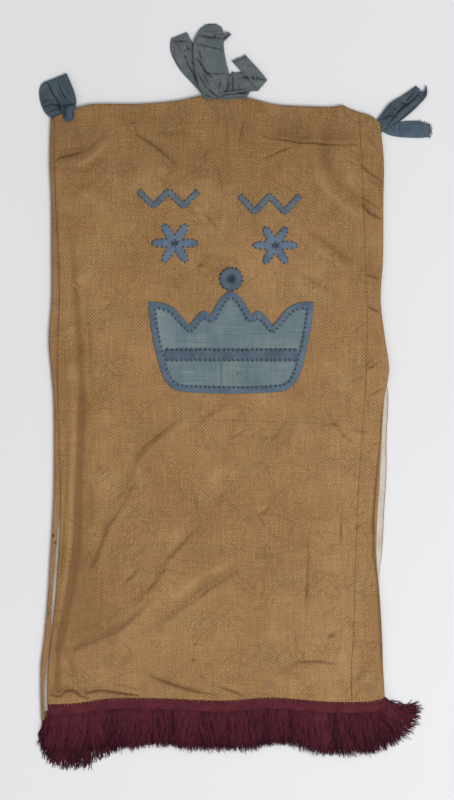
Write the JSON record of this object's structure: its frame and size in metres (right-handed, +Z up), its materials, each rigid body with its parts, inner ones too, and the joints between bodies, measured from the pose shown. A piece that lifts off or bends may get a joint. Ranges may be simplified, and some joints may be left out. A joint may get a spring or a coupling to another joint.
{
  "type": "torah mantle",
  "caption": "Flat-laid cloth cover for a scroll, with a pieced side strip, ribbon ties at its top, a sewn crown ornament and a fringed hem.",
  "frame": {"origin": "middle of the whole cloth with its ties and fringe, on the surface that it lies on", "axes": "+X across the cloth to the right as seen from above, +Y from the fringe to the tied top edge, +Z up from the surface"},
  "size_m": [0.5144, 0.9828, 0.0093],
  "materials": {
    "gold_cloth": "golden brown silk with a fine dark pin-dot weave, soiled towards the top",
    "back_cloth": "the same golden brown silk, plain where it rolls over the side edge",
    "lining_cloth": "pale grey-beige cotton",
    "wine_fringe": "dark wine-red thread on a woven heading",
    "crown_cloth": "faded blue-green ribbed silk",
    "crown_ribbon": "slate-blue ribbon, darker than the crown",
    "blue_ribbon": "dull blue ribbon with whip stitches round its edges",
    "tie_ribbon": "slate-blue silk ribbon, creased and frayed at its ends"
  },
  "bodies": {
    "root": {"back_panel": "back_cloth", "lining": "lining_cloth", "front_panel": "gold_cloth", "side_strip": "gold_cloth", "front_fringe": "wine_fringe", "back_fringe": "wine_fringe", "crown_patch": "crown_cloth", "crown_border": "crown_ribbon", "crown_band": "crown_ribbon", "crown_ball": "blue_ribbon", "zigzag_left": "blue_ribbon", "zigzag_right": "blue_ribbon", "rosette_left": "blue_ribbon", "rosette_right": "blue_ribbon", "left_tie_loop": "tie_ribbon", "left_tie_tail": "tie_ribbon", "middle_tie_long": "tie_ribbon", "middle_tie_lobe": "tie_ribbon", "middle_tie_flap": "tie_ribbon", "right_tie_upper": "tie_ribbon", "right_tie_lower": "tie_ribbon"}
  },
  "joints": []
}
